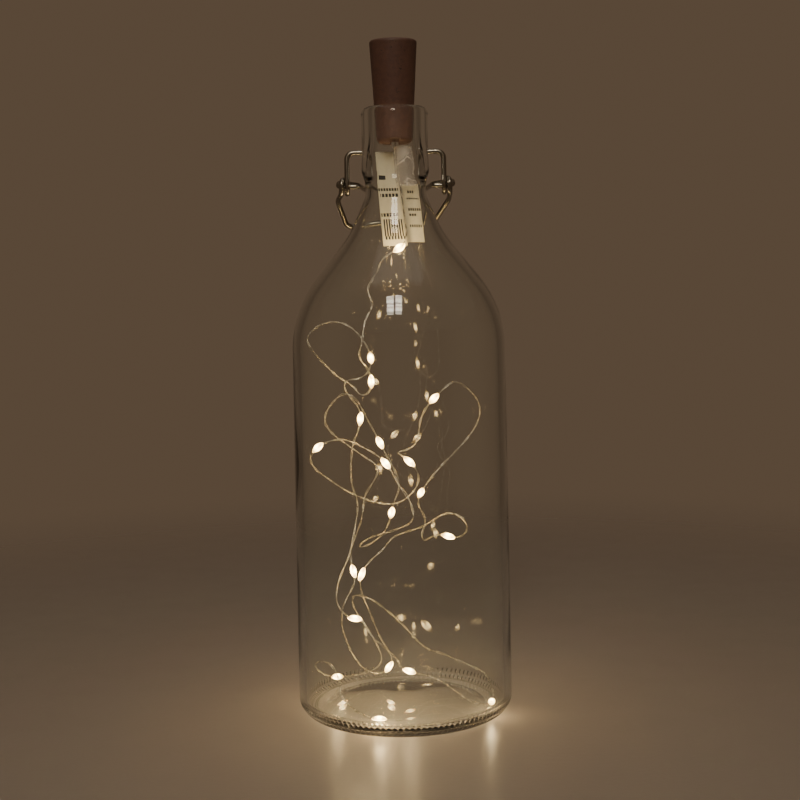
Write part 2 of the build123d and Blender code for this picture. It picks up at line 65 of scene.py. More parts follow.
# The string's route from the plug's outlet to its last light.
ROUTE = [
    (0, 0, 0.2451), (0.0005, 0, 0.2375), (0.002, -0.002, 0.228), (0.003, -0.002, 0.2135),
    (0.005, -0.003, 0.199), (-0.003, -0.002, 0.195), (-0.007, 0.002, 0.1925),
    (-0.009, 0.006, 0.1865), (-0.014, 0.004, 0.181), (-0.01, 0, 0.1745), (-0.0145, -0.004, 0.1675),
    (-0.0155, -0.008, 0.1585), (-0.0175, -0.01, 0.152), (-0.012, -0.009, 0.146),
    (-0.012, -0.006, 0.1375), (-0.017, 0.002, 0.1345), (-0.0205, 0.005, 0.1395),
    (-0.027, 0, 0.1435), (-0.033, -0.007, 0.151), (-0.0385, -0.01, 0.1585),
    (-0.038, -0.004, 0.1635), (-0.0295, 0.003, 0.1675), (-0.02, 0.003, 0.165),
    (-0.0125, -0.006, 0.156), (-0.0115, -0.013, 0.148), (-0.0155, -0.02, 0.144),
    (-0.023, -0.018, 0.1435), (-0.023, -0.01, 0.1375), (-0.0165, -0.006, 0.13),
    (-0.0175, -0.004, 0.1215), (-0.021, 0.002, 0.114), (-0.022, 0.005, 0.104),
    (-0.022, 0.009, 0.095), (-0.019, 0.009, 0.089), (-0.0205, 0.004, 0.0765),
    (-0.0225, -0.001, 0.07), (-0.022, -0.005, 0.065), (-0.02, -0.006, 0.057),
    (-0.0225, -0.01, 0.053), (-0.026, -0.014, 0.047), (-0.026, -0.012, 0.0365),
    (-0.021, -0.002, 0.022), (-0.0165, 0.003, 0.016), (-0.0095, 0.008, 0.013),
    (-0.0045, 0.007, 0.02), (-0.01, 0.003, 0.029), (-0.0145, 0, 0.042), (-0.0195, 0.001, 0.054),
    (-0.016, 0.002, 0.0625), (-0.008, 0.006, 0.068), (-0.0045, 0.008, 0.073),
    (0.004, 0.007, 0.0755), (0.011, 0, 0.0795), (0.0185, -0.006, 0.0855), (0.025, -0.009, 0.0845),
    (0.028, -0.0105, 0.079), (0.024, -0.0095, 0.0745), (0.0145, -0.006, 0.0765),
    (0.0095, 0.0005, 0.072), (0.008, 0.009, 0.0725), (0.011, 0.0135, 0.079), (0.006, 0.008, 0.0875),
    (0.0105, 0.002, 0.0965), (0.017, 0.004, 0.1035), (0.0265, 0.012, 0.111), (0.035, 0.016, 0.12),
    (0.036, 0.01, 0.1295), (0.0295, 0.002, 0.1375), (0.0235, -0.004, 0.1415),
    (0.018, -0.006, 0.1375), (0.011, -0.003, 0.13), (0.0085, 0.002, 0.124), (0.0075, 0.004, 0.115),
    (0.0045, 0.0075, 0.111), (-0.002, 0.004, 0.11), (0.0005, -0.0025, 0.1095),
    (0.0065, -0.0055, 0.1045), (0.008, -0.003, 0.098), (0.0025, 0.003, 0.09),
    (-0.0045, 0.008, 0.0865), (-0.014, 0.005, 0.089), (-0.0245, 0.001, 0.0945),
    (-0.0335, -0.002, 0.1015), (-0.0385, -0.006, 0.107), (-0.0375, -0.011, 0.112),
    (-0.0315, -0.014, 0.1175), (-0.0235, -0.008, 0.118), (-0.015, -0.001, 0.1125),
    (-0.009, 0.002, 0.1085), (-0.0045, 0.001, 0.103), (-0.0015, -0.004, 0.0975),
    (0.0045, -0.008, 0.0895), (0.005, -0.012, 0.0825), (-0.0025, -0.01, 0.079),
    (-0.014, -0.006, 0.0755), (-0.0195, 0, 0.0705), (-0.016, 0.006, 0.069), (-0.009, 0.004, 0.074),
    (-0.0055, -0.002, 0.0805), (-0.0035, -0.006, 0.09), (-0.0005, -0.012, 0.0975),
    (-0.003, -0.01, 0.105), (-0.0065, -0.008, 0.111), (-0.011, -0.008, 0.1205),
    (-0.015, -0.013, 0.1285), (-0.0175, -0.018, 0.135), (-0.0225, -0.017, 0.1385),
    (-0.0285, -0.011, 0.134), (-0.033, -0.004, 0.126), (-0.0305, 0.004, 0.119),
    (-0.024, 0.012, 0.113), (-0.0155, 0.014, 0.1065), (-0.0095, 0.012, 0.103),
    (-0.012, 0.014, 0.0965), (-0.017, 0.016, 0.0895), (-0.0175, 0.012, 0.0805),
    (-0.021, 0.01, 0.072), (-0.024, 0.004, 0.0635), (-0.028, -0.002, 0.0565),
    (-0.029, -0.006, 0.048), (-0.0245, -0.008, 0.042), (-0.017, -0.008, 0.041),
    (-0.0145, -0.012, 0.0355), (-0.007, -0.014, 0.029), (-0.003, -0.01, 0.0245),
    (-0.002, -0.0065, 0.0195), (0.0055, -0.004, 0.0165), (0.0125, -0.002, 0.0145),
    (0.0205, -0.008, 0.0105), (0.027, -0.017, 0.0075), (0.034, -0.0175, 0.0065),
    (0.037, -0.0085, 0.0065), (0.038, 0.002, 0.008), (0.036, 0.013, 0.012), (0.0285, 0.02, 0.0135),
    (0.0175, 0.02, 0.0185), (0.0085, 0.016, 0.022), (-0.001, 0.012, 0.0345),
    (-0.012, 0.006, 0.0455), (-0.021, 0.01, 0.0485), (-0.0235, 0.016, 0.043),
    (-0.0185, 0.02, 0.033), (-0.012, 0.024, 0.022), (-0.0095, 0.026, 0.0135),
    (-0.0165, 0.022, 0.01), (-0.0255, 0.014, 0.011), (-0.0345, 0.008, 0.0125),
    (-0.039, -0.002, 0.019), (-0.0365, -0.012, 0.025), (-0.0305, -0.018, 0.0255),
    (-0.027, -0.02, 0.0195), (-0.0265, -0.024, 0.012), (-0.0155, -0.033, 0.0063),
    (-0.006, -0.034, 0.0062), (-0.0015, -0.0335, 0.0052),
]

# The route's points at which the run that carries a light starts.
LIGHT_STARTS = [
    4, 13, 23, 28, 36, 43, 47, 56, 61, 69, 75, 84, 88, 98, 102, 120, 125, 130, 145, 152,
]

# Height of the lever's pivots, ends of the plug, and radius of the closure's wire.
PIVOT_HEIGHT = 0.2395
PLUG_TOP = 0.2875
PLUG_BOTTOM = 0.2435
WIRE_RADIUS = 0.0011

# Steps round the turned pieces.
BOTTLE_SIDES = 720
PLUG_SIDES = 144

# The plug's foot, the groove across it, and from which radius and how deep its wall is pitted.
FOOT_HEIGHT = 0.0022
FOOT_RADIUS = 0.0078
GROOVE_HALF_WIDTH = 0.0018
GROOVE_DEPTH = 0.0016
PITTED_WALL = 0.0075
PIT_DEPTH = 0.00012

# A light chip: its sizes, its edges' rounding and how far it sits above the string's middle.
CHIP_SIZE = (0.0016, 0.001, 0.0006)
CHIP_EDGE = 0.00016
CHIP_RISE = 0.00062

# The distance between two points of the string's twisted strands.
STRING_PACE = 0.0008

# The stage: the floor, the window's middle and the way up it, and the camera's lens, place and
# roll in degrees.
FLOOR_RADIUS = 0.7
WINDOW_PLACE = Vector((-0.07, -0.72, 0.92))
WINDOW_UP = Vector((0, 0.75, 0.66))
CAMERA_LENS = 68.76
CAMERA_PLACE = (0, -0.657, 0.1948)
CAMERA_ROLL = -1.131

# Middle of the heel's rounding, as a radius and a height, the top of its rows of hollows, and how
# far from the axis and from that middle the glass has them.
HEEL_RADIUS = 0.0376
HEEL_HEIGHT = 0.008
HEEL_TOP = 0.0095
HEEL_WALL = 0.036
HEEL_REACH = 0.0065

# Each row of hollows round the heel: the middle and half of its share of the rounding, in
# radians, and its lean.
HEEL_ROWS = ((1.3, 0.17, 0.3), (0.76, 0.2, -0.3))

# How far up and down the finish, and from which radius, the mesh is fine enough for a dimple.
DIMPLE_REACH = 0.0032
DIMPLE_WALL = 0.0143

# The longest edge of the bottle's outline at a dimple, at the heel and elsewhere.
DIMPLE_EDGE = 0.00022
HEEL_EDGE = 0.0004
PLAIN_EDGE = 0.006

# Depth of a dimple over the distance from its axis, and the radius halfway through the bottle's
# wall over the height.
DIMPLE_DEPTHS = ((0.00145, 0.0026), (0.0017, 0.0006), (0.0024, 0))
WALL_MIDDLES = ((0.174, 0.044), (0.2045, 0.0185), (0.221, 0.0119))

# The longest run between two points on a rounding.
ARC_RUN = 0.0015

# Corners of the bottle's outline from the middle of its underside, up the outside and down the
# inside, each with its rounding.
BOTTLE_OUTLINE = [
    (0, 0.0034, 0), (0.017, 0.0034, 0.16), (0.034, 0, 0.0015), (0.0456, 0, 0.008),
    (0.0456, 0.1725, 0.05), (0.0203, 0.204, 0.045), (0.013, 0.2205, 0.01),
    (0.013, 0.2262, 0.006), (0.0146, 0.231, 0.005), (0.0144, 0.24, 0.02),
    (0.0144, 0.259, 0.0034), (0.0089, 0.259, 0.0018),
    (0.0089, 0.245, 0.02), (0.0108, 0.228, 0.02), (0.0108, 0.2205, 0.01),
    (0.0171, 0.2024, 0.045), (0.0424, 0.1709, 0.0468), (0.0424, 0.0042, 0.0045),
    (0.034, 0.0042, 0.05), (0.017, 0.0076, 0.12), (0, 0.0076, 0),
]

# One half of the lever and of the stopper's bail, each corner with its rounding. The other half
# mirrors it, apart from the handle's end, which is skewed to the left as it is in the photograph.
LEVER_HALF = [
    (0.0125, 0, 0.2395, 0), (0.0208, 0, 0.2395, 0.003),
    (0.0208, -0.003, 0.2219, 0.0028), (0.02092, 0.003, 0.2219, 0.0028),
    (0.02152, 0.003, 0.2279, 0.0028), (0.0232, -0.003, 0.2279, 0.0028),
    (0.0232, -0.003, 0.2219, 0.0028),
    (0.0242, 0.0075, 0.2191, 0.008), (0.0187, 0.01999, 0.2081, 0.0036),
]
HANDLE_SKEWS = {7: 0.00116, 8: 0.0031}
BAIL_HALF = [
    (0.0156, 0, 0.2249, 0), (0.0246, 0, 0.2249, 0.0022), (0.0246, 0.005, 0.2269, 0.0022),
    (0.0166, 0.011, 0.2261, 0.005), (0.012, 0.0442, 0.2243, 0.006),
]

# The plug shell's outline from the middle of its foot, up the outside and down the recess.
PLUG_OUTLINE = [
    (0, 0.2435, 0), (0.0077, 0.2435, 0.0022), (0.0103, 0.2875, 0.0012), (0.0086, 0.2875, 0.0003),
    (0.0086, 0.2844, 0), (0.0072, 0.2844, 0), (0.0072, 0.25, 0), (0.0046, 0.25, 0),
    (0.0046, 0.2465, 0), (0, 0.2465, 0),
]


def colour_choice(name, about, default):
    """A colour setting."""
    return FloatVectorProperty(
        name=name, description=about, subtype="COLOR", size=3, min=0, max=1, default=default
    )


def length_choice(name, about, default, low, high):
    """A length setting, in metres."""
    return FloatProperty(
        name=name, description=about, default=default, min=low, max=high, unit="LENGTH"
    )


class BottleSettings(PropertyGroup):
    """Sizes and colours of the glass and the closure's wires."""

    tint: colour_choice("Glass tint", "Colour that the clear glass takes on", (0.97, 0.985, 0.965))
    knurl_depth: length_choice(
        "Knurl depth", "Depth of the hollows between the bars round the heel", 0.0006, 0, 0.001
    )
    knurl_count: IntProperty(
        name="Knurl count", description="Number of bars in one row round the heel",
        default=120, min=12, max=160,
    )
    waviness: length_choice(
        "Waviness", "How far the inner wall wanders from a true round", 0.00012, 0, 0.001
    )
    steel: colour_choice("Wire colour", "Colour of the closure's drawn wire", (0.31, 0.285, 0.24))


class PlugSettings(PropertyGroup):
    """Colours of the plug that holds the cells."""

    cork: colour_choice("Cork colour", "Main colour of the plug's shell", (0.115, 0.058, 0.046))
    pits: colour_choice("Pit colour", "Colour of the shell's dark flecks", (0.035, 0.018, 0.014))
    grain: length_choice("Grain size", "Size of the cork's granules", 0.0016, 0.0004, 0.006)


class StringSettings(PropertyGroup):
    """Sizes and colours of the string of lights."""

    strand_radius: length_choice(
        "Strand radius", "Radius of one of the two lacquered wires", 0.00015, 0.00005, 0.0005
    )
    strand_offset: length_choice(
        "Strand offset", "Distance of each wire from the string's middle", 0.0002, 0.0001, 0.001
    )
    twist_pitch: length_choice(
        "Twist pitch", "Length in which the wires turn round each other once", 0.016, 0.002, 0.1
    )
    drop_length: length_choice("Drop length", "Length of a resin drop", 0.0062, 0.002, 0.0066)
    drop_radius: length_choice(
        "Drop radius", "Largest radius of a resin drop", 0.00142, 0.0008, 0.002
    )
    glow: colour_choice("Light colour", "Colour of the warm white lights", (1.0, 0.72, 0.36))


class LabelSettings(PropertyGroup):
    """Colours of the flag label in the neck."""

    paper: colour_choice("Paper colour", "Colour of the label's bare paper", (0.66, 0.6, 0.46))
    ink: colour_choice("Ink colour", "Colour of the plain ruled marks", (0.008, 0.007, 0.006))


class StageSettings(PropertyGroup):
    """Floor, lights and camera."""

    floor: colour_choice("Floor colour", "Colour of the pale floor", (0.35, 0.305, 0.265))
    backdrop: colour_choice("Backdrop colour", "Colour of the surroundings", (0.108, 0.073, 0.046))
    key_power: FloatProperty(
        name="Key power", description="Power of the main soft light",
        default=3.0, min=0, max=100, unit="POWER",
    )


def rounded(corners, arc_turn):
    """Points along a rigid outline or wire whose corners are rounded.

    A wire's corner is a place and a rounding, an outline's a radius, a height and a rounding.
    """
    places = [
        (Vector(corner[:-1]) if len(corner) == 4 else Vector((corner[0], 0, corner[1])), corner[-1])
        for corner in corners
    ]
    points = [places[0][0]]
    for (before, _), (corner, radius), (after, _) in zip(places, places[1:], places[2:]):
        if not radius:
            points.append(corner)
            continue
        arriving = (corner - before).normalized()
        leaving = (after - corner).normalized()
        turn = arriving.angle(leaving)
        start = corner - arriving * radius * math.tan(turn / 2)
        inward = (leaving - arriving).normalized()
        centre = corner + inward * radius / math.cos(turn / 2)
        axis = arriving.cross(leaving).normalized()
        steps = max(2, math.ceil(turn / arc_turn), math.ceil(turn * radius / ARC_RUN))
        for step in range(steps + 1):
            points.append(centre + Quaternion(axis, turn * step / steps) @ (start - centre))
    points.append(places[-1][0])
    return points


def filled_in(points, spacing_at):
    """The same line with more points wherever two are further apart than the spacing there."""
    line = [points[0]]
    for here, there in zip(points, points[1:]):
        spacing = spacing_at((here + there) / 2)
        count = max(1, math.ceil((there - here).length / spacing))
        line += [here.lerp(there, step / count) for step in range(1, count + 1)]
    return line


def paced(points, pace):
    """Points at even distances along a line."""
    line = [points[0].copy()]
    left = pace
    for here, there in zip(points, points[1:]):
        length = (there - here).length
        run = left
        while run <= length:
            line.append(here.lerp(there, run / length))
            run += pace
        left = run - length
    if (line[-1] - points[-1]).length > pace / 4:
        line.append(points[-1].copy())
    return line


def steady_frames(points):
    """A direction and a side vector at each point of a line, with no sudden turn between them."""
    count = len(points)
    ways = [
        (points[min(i + 1, count - 1)] - points[max(i - 1, 0)]).normalized() for i in range(count)
    ]
    side = ways[0].orthogonal().normalized()
    frames = []
    for way in ways:
        side = (side - way * side.dot(way)).normalized()
        frames.append((way, side.copy()))
    return frames


def add_ring(bm, middle, side, up, count):
    """Adds the points of a round or oval ring about its middle."""
    turns = [2 * math.pi * spoke / count for spoke in range(count)]
    return [bm.verts.new(middle + side * math.cos(turn) + up * math.sin(turn)) for turn in turns]


def add_skin(bm, rings, along=None):
    """Adds the faces between rings, and with the rings' second UV also the UVs and two ends."""
    uv = bm.loops.layers.uv.verify() if along else None
    count = len(rings[0])
    for index, (low, high) in enumerate(zip(rings, rings[1:])):
        for spoke in range(count):
            after = (spoke + 1) % count
            corners = dict.fromkeys((low[spoke], low[after], high[after], high[spoke]))
            if len(corners) < 3:
                continue
            face = bm.faces.new(tuple(corners))
            if along:
                for loop, (a, b) in zip(face.loops, ((0, 0), (1, 0), (1, 1), (0, 1))):
                    loop[uv].uv = ((spoke + a) / count, along[index + b])
    if along:
        bm.faces.new(rings[0][::-1])
        bm.faces.new(rings[-1])


def add_tube(bm, points, radii, sides):
    """Adds a closed tube along a line, with its length in millimetres as the second UV."""
    lengths = [0.0]
    for here, there in zip(points, points[1:]):
        lengths.append(lengths[-1] + (there - here).length * 1000)
    rings = [
        add_ring(bm, point, side * radius, way.cross(side) * radius, sides)
        for point, radius, (way, side) in zip(points, radii, steady_frames(points))
    ]
    add_skin(bm, rings, lengths)


def add_turned(bm, profile, segments):
    """Adds a round form made by turning a profile, from axis to axis, about the Z axis."""
    rings = []
    for point in profile:
        middle = Vector((0, 0, point.z))
        if point.x < 1e-6:
            rings.append([bm.verts.new(middle)] * segments)
        else:
            side, up = Vector((point.x, 0, 0)), Vector((0, point.x, 0))
            rings.append(add_ring(bm, middle, side, up, segments))
    add_skin(bm, rings)


def add_object(name, data):
    """A new object in the scene."""
    holder = bpy.data.objects.new(name, data)
    bpy.context.scene.collection.objects.link(holder)
    return holder


def finish_piece(bm, name, material):
    """Turns the built mesh into an object in the scene, smooth apart from its flat ends."""
    mesh = bpy.data.meshes.new(name)
    for face in bm.faces:
        face.smooth = len(face.verts) <= 4
    bm.to_mesh(mesh)
    bm.free()
    mesh.materials.append(material)
    return add_object(name, mesh)


def add_node(tree, kind, inputs=None, **settings):
    """Adds a node, sets it up, and links or fills its inputs by name or number."""
    node = tree.nodes.new(kind)
    for name, value in settings.items():
        setattr(node, name, value)
    for key, value in (inputs or {}).items():
        socket = node.inputs[key]
        if isinstance(value, bpy.types.NodeSocket):
            tree.links.new(value, socket)
        else:
            socket.default_value = value
    return node


def math_node(tree, operation, first, second=0.0, third=0.0):
    """The value of one sum over up to three inputs."""
    node = add_node(tree, "ShaderNodeMath", {0: first, 1: second, 2: third}, operation=operation)
    return node.outputs[0]


def blend_colours(tree, factor, low, high):
    """A mix of two colours by a factor."""
    node = add_node(tree, "ShaderNodeMix", {0: factor, 6: low, 7: high}, data_type="RGBA")
    return node.outputs[2]


def noise_at(tree, place, scale, detail=3.0, roughness=0.5):
    """Fractal noise over a place, from 0 to 1."""
    node = add_node(
        tree, "ShaderNodeTexNoise",
        {"Vector": place, "Scale": scale, "Detail": detail, "Roughness": roughness},
    )
    return node.outputs[0]


def stretch(tree, value, low, high, out_low=0.0, out_high=1.0):
    """A value spread from one range over another, and held within it."""
    node = add_node(
        tree, "ShaderNodeMapRange",
        {0: value, 1: low, 2: high, 3: out_low, 4: out_high}, clamp=True,
    )
    return node.outputs[0]


def add_sockets(group, names, side):
    """Adds a group's sockets, colours where the name says so and numbers elsewhere."""
    for name in names:
        kind = "NodeSocketColor" if name.endswith("Colour") else "NodeSocketFloat"
        group.interface.new_socket(name, in_out=side, socket_type=kind)


def build_group(name):
    """Builds a named shader group from the function that fills it."""
    fill, inputs = GROUPS[name]
    group = bpy.data.node_groups.new(name, "ShaderNodeTree")
    add_sockets(group, inputs, "INPUT")
    results = fill(group, group.nodes.new("NodeGroupInput").outputs)
    add_sockets(group, results, "OUTPUT")
    end = group.nodes.new("NodeGroupOutput")
    for socket_name, value in results.items():
        group.links.new(value, end.inputs[socket_name])
    return group


def place_node(tree):
    """The place on the object, in metres."""
    return add_node(tree, "ShaderNodeTexCoord").outputs["Object"]


def sheet_axes(tree):
    """The two UV values."""
    uv = add_node(tree, "ShaderNodeTexCoord").outputs["UV"]
    return add_node(tree, "ShaderNodeSeparateXYZ", {0: uv}).outputs


def times(tree, first, second):
    """The product of two values."""
    return math_node(tree, "MULTIPLY", first, second)


def off_half(tree, value):
    """How far a value is from a half."""
    return math_node(tree, "ABSOLUTE", math_node(tree, "SUBTRACT", value, 0.5))


def cork_grain(group, given):
    """Pressed cork: granules of two tones, dark pits and a height."""
    place = place_node(group)
    size = given["Granules Per Metre"]
    cells = add_node(group, "ShaderNodeTexVoronoi", {"Vector": place, "Scale": size})
    tone = add_node(group, "ShaderNodeSeparateColor", {0: cells.outputs["Color"]}).outputs[0]
    fine = noise_at(group, place, times(group, size, 3.0))
    flecks = stretch(group, noise_at(group, place, size, 5.0, 0.7), 0.6, 0.7)
    main = given["Main Colour"]
    paler = stretch(group, tone, 0.0, 1.0, 0.0, 0.35)
    lighter = blend_colours(group, paler, main, (0.2, 0.1, 0.065, 1))
    mottled = blend_colours(group, stretch(group, fine, 0.3, 0.7, 0.0, 0.5), lighter, main)
    return {
        "Colour": blend_colours(group, flecks, mottled, given["Pit Colour"]),
        "Roughness": stretch(group, fine, 0.3, 0.7, 0.42, 0.62),
        "Height": math_node(group, "SUBTRACT", times(group, fine, 0.4), flecks),
    }


def drawn_wire(group, given):
    """Drawn metal: streaks along the wire, faint tarnish and a height."""
    uv = add_node(group, "ShaderNodeTexCoord").outputs["UV"]
    lengthened = add_node(group, "ShaderNodeMapping", {"Vector": uv, "Scale": (6.0, 0.03, 1.0)})
    streaks = noise_at(group, lengthened.outputs[0], 3.0, 4.0, 0.6)
    blotches = stretch(group, noise_at(group, place_node(group), 420.0, 4.0, 0.6), 0.42, 0.68)
    dull = times(group, blotches, given["Tarnish"])
    rough = math_node(group, "MULTIPLY_ADD", streaks, 0.12, 0.16)
    return {
        "Colour": blend_colours(group, dull, given["Metal Colour"], given["Tarnish Colour"]),
        "Roughness": math_node(group, "MULTIPLY_ADD", dull, 0.3, rough),
        "Height": streaks,
    }


def moulded_surface(group, given):
    """Moulded or machined surface: fine texture, slight mottling and rubbed patches."""
    place = place_node(group)
    grain = given["Grain Per Metre"]
    fine = noise_at(group, place, grain, 2.0)
    wide = noise_at(group, place, times(group, grain, 0.09), 4.0)
    rubbed = stretch(group, wide, 0.5, 0.75, 0.0, 0.6)
    return {
        "Colour": blend_colours(group, rubbed, given["Main Colour"], given["Rubbed Colour"]),
        "Roughness": stretch(group, wide, 0.3, 0.7, given["High Roughness"],
                             given["Low Roughness"]),
        "Height": fine,
    }


def glass_skin(group, given):
    """Pressed glass skin: a slow ripple and a few fine smears, as a height and a roughness."""
    place = place_node(group)
    slow = noise_at(group, place, given["Ripple Per Metre"], 1.0)
    smears = stretch(group, noise_at(group, place, 90.0, 5.0, 0.65), 0.52, 0.8)
    return {"Roughness": times(group, smears, given["Smudge"]), "Height": slow}


def drop_glow(group, given):
    """Light spread through a resin drop, from its middle to its ends, over UV's second axis."""
    spread = stretch(group, off_half(group, sheet_axes(group)[1]), 0.02, 0.36)
    return {"Colour": blend_colours(group, spread, given["Middle Colour"], given["End Colour"])}


def printed_block(group, given):
    """A block of plain upright bars or dashes on a UV sheet, as a mask."""
    split = sheet_axes(group)
    across, up = (
        math_node(group, "COMPARE", split[axis], given["Middle " + way], given["Half " + way])
        for axis, way in enumerate(("Across", "Up"))
    )
    bars = math_node(group, "FRACT", times(group, split[0], given["Bars Across"]))
    inked = math_node(group, "LESS_THAN", bars, given["Ink Share"])
    return {"Mask": times(group, times(group, across, up), inked)}


def film_creases_and_highlights(group, given):
    """Creases in thin film: pale ridges along them, painted as highlights, over a milky haze, as a
    cover mask and a height.
    """
    slow = noise_at(group, place_node(group), given["Creases Per Metre"], 2.0, 0.4)
    # Painted highlight: pale ridges along the creases, added to the film's cover.
    painted_ridge_highlight = stretch(group, off_half(group, slow), 0.0, 0.035, 0.4, 0.0)
    patches = times(group, stretch(group, slow, 0.35, 0.7), given["Haze"])
    haze = math_node(group, "ADD", patches, times(group, given["Haze"], 0.7))
    return {"Cover": math_node(group, "ADD", painted_ridge_highlight, haze), "Height": slow}


# The shared shader groups: what fills each, and its inputs. A use gives their values in order.
GROUPS = {
    "Cork grain": (cork_grain, ("Main Colour", "Pit Colour", "Granules Per Metre")),
    "Drawn wire": (drawn_wire, ("Metal Colour", "Tarnish Colour", "Tarnish")),
    "Moulded surface": (moulded_surface, (
        "Main Colour", "Rubbed Colour", "Grain Per Metre", "Low Roughness", "High Roughness",
    )),
    "Glass skin": (glass_skin, ("Ripple Per Metre", "Smudge")),
    "Film creases and painted highlights": (film_creases_and_highlights, ("Creases Per Metre", "Haze")),
    "Drop glow": (drop_glow, ("Middle Colour", "End Colour")),
    "Printed block": (printed_block, (
        "Middle Across", "Half Across", "Middle Up", "Half Up", "Bars Across", "Ink Share",
    )),
}


def use_group(tree, name, *values):
    """Places a shared group in a material with its own values, and builds it the first time."""
    node = tree.nodes.new("ShaderNodeGroup")
    node.node_tree = bpy.data.node_groups.get(name) or build_group(name)
    for socket_name, value in zip(GROUPS[name][1], values, strict=True):
        whole = (*value, 1) if socket_name.endswith("Colour") else value
        node.inputs[socket_name].default_value = whole
    return node.outputs


def empty_material(name):
    """A material without nodes, and its node tree."""
    material = bpy.data.materials.new(name)
    material.use_nodes = True
    material.node_tree.nodes.clear()
    return material, material.node_tree


def bump(tree, height, distance):
    """A normal bent by a height."""
    node = add_node(tree, "ShaderNodeBump", {"Height": height, "Distance": distance})
    return node.outputs[0]


def end_in_shader(tree, inputs):
    """Ends a material in one plain shader."""
    shader = add_node(tree, "ShaderNodeBsdfPrincipled", inputs)
    add_node(tree, "ShaderNodeOutputMaterial", {0: shader.outputs[0]})


def end_in_mix(tree, factor, first, second):
    """Ends a material in a mix of two shaders."""
    shaders = {0: factor, 1: first.outputs[0], 2: second.outputs[0]}
    mixed = add_node(tree, "ShaderNodeMixShader", shaders)
    add_node(tree, "ShaderNodeOutputMaterial", {0: mixed.outputs[0]})


def surface_material(name, group, values, bump_depth, metallic=0.0):
    """A solid material whose colour, roughness and relief come from a shared group."""
    material, tree = empty_material(name)
    made = use_group(tree, group, *values)
    end_in_shader(tree, {
        "Base Color": made["Colour"],
        "Roughness": made["Roughness"],
        "Normal": bump(tree, made["Height"], bump_depth),
        "Metallic": metallic,
    })
    return material


def end_in_clear(tree, inputs):
    """Ends a material in a clear shader that lets the lamps' light through in shadow rays."""
    shader = add_node(
        tree, "ShaderNodeBsdfPrincipled",
        {"Metallic": 0.0, "Transmission Weight": 1.0, **inputs},
    )
    through = add_node(tree, "ShaderNodeBsdfTransparent", {"Color": (0.93, 0.93, 0.92, 1)})
    path = add_node(tree, "ShaderNodeLightPath")
    end_in_mix(tree, path.outputs["Is Shadow Ray"], shader, through)


def glass_material(tint):
    """Clear pressed bottle glass with a slow ripple."""
    material, tree = empty_material("Clear glass")
    skin = use_group(tree, "Glass skin", 26.0, 0.035)
    end_in_clear(tree, {
        "Base Color": (*tint, 1),
        "IOR": 1.5,
        "Roughness": skin["Roughness"],
        "Normal": bump(tree, skin["Height"], 0.0004),
    })
    return material


def resin_material(glow):
    """Clear resin that glows from the light inside it."""
    material, tree = empty_material("Glowing resin")
    skin = use_group(tree, "Glass skin", 500.0, 0.1)
    end_glow = (glow[0] * 0.16, glow[1] * 0.13, glow[2] * 0.05)
    lit = use_group(tree, "Drop glow", glow, end_glow)
    end_in_clear(tree, {
        "Base Color": (1, 0.97, 0.9, 1),
        "IOR": 1.48,
        "Roughness": skin["Roughness"],
        "Normal": bump(tree, skin["Height"], 0.0001),
        "Emission Color": lit["Colour"],
        "Emission Strength": 10.0,
    })
    return material


def film_material():
    """Thin milky film with pale creases, a painted highlight along them."""
    material, tree = empty_material("Clear film")
    creases_and_highlights = use_group(tree, "Film creases and painted highlights", 150.0, 0.24)
    skin = use_group(tree, "Glass skin", 160.0, 0.3)
    end_in_shader(tree, {
        "Base Color": (0.82, 0.74, 0.66, 1),
        "Roughness": math_node(tree, "ADD", skin["Roughness"], 0.22),
        # The cover holds the milky haze and the painted highlights along the creases.
        "Alpha": creases_and_highlights["Cover"],
        "Normal": bump(tree, creases_and_highlights["Height"], 0.0008),
    })
    return material


def chip_material(glow):
    """Bright phosphor of a light chip, a little uneven."""
    material, tree = empty_material("Light chip")
    made = use_group(tree, "Moulded surface", glow, (1.0, 0.82, 0.52), 6000.0, 0.35, 0.55)
    end_in_shader(tree, {
        "Base Color": (1.0, 0.75, 0.3, 1),
        "Roughness": made["Roughness"],
        "Emission Color": made["Colour"],
        "Emission Strength": 420.0,
    })
    return material


# Marks on each leaf, each with the inputs of "Printed block" in their order.
LEFT_MARKS = [
    (0.24, 0.17, 0.79, 0.028, 1.0, 1.0),
    (0.47, 0.45, 0.605, 0.018, 8.0, 0.72),
    (0.5, 0.42, 0.54, 0.018, 6.5, 0.7),
    (0.4, 0.36, 0.325, 0.018, 7.5, 0.7),
    (0.52, 0.44, 0.19, 0.09, 9.5, 0.6),
    (0.52, 0.44, 0.085, 0.016, 8.0, 0.62),
]
RIGHT_MARKS = [
    (0.45, 0.2, 0.86, 0.024, 7.0, 0.7),
    (0.55, 0.38, 0.74, 0.02, 9.0, 0.7),
    (0.6, 0.36, 0.55, 0.024, 8.0, 0.68),
    (0.48, 0.24, 0.46, 0.02, 7.0, 0.7),
    (0.6, 0.34, 0.28, 0.024, 8.0, 0.66),
]


def paper_material(name, paper, ink, marks):
    """Cream paper with plain ruled marks printed on it."""
    material, tree = empty_material(name)
    mask = None
    for mark in marks:
        block = use_group(tree, "Printed block", *mark)["Mask"]
        mask = block if mask is None else math_node(tree, "MAXIMUM", mask, block)
    rubbed = (paper[0] * 0.86, paper[1] * 0.84, paper[2] * 0.78)
    made = use_group(tree, "Moulded surface", paper, rubbed, 5000.0, 0.55, 0.75)
    end_in_shader(tree, {
        "Base Color": blend_colours(tree, mask, made["Colour"], (*ink, 1)),
        "Roughness": made["Roughness"],
        "Normal": bump(tree, made["Height"], 0.00003),
    })
    return material


def mirrored(half, skews):
    """A whole closure wire from its right half, left end first."""
    left = []
    right = []
    for index, (x, y, z, rounding) in enumerate(half):
        skew = skews.get(index, 0)
        left.append((-x - skew, y, z, rounding))
        right.append((x - skew, y, z, rounding))
    return left + right[::-1]


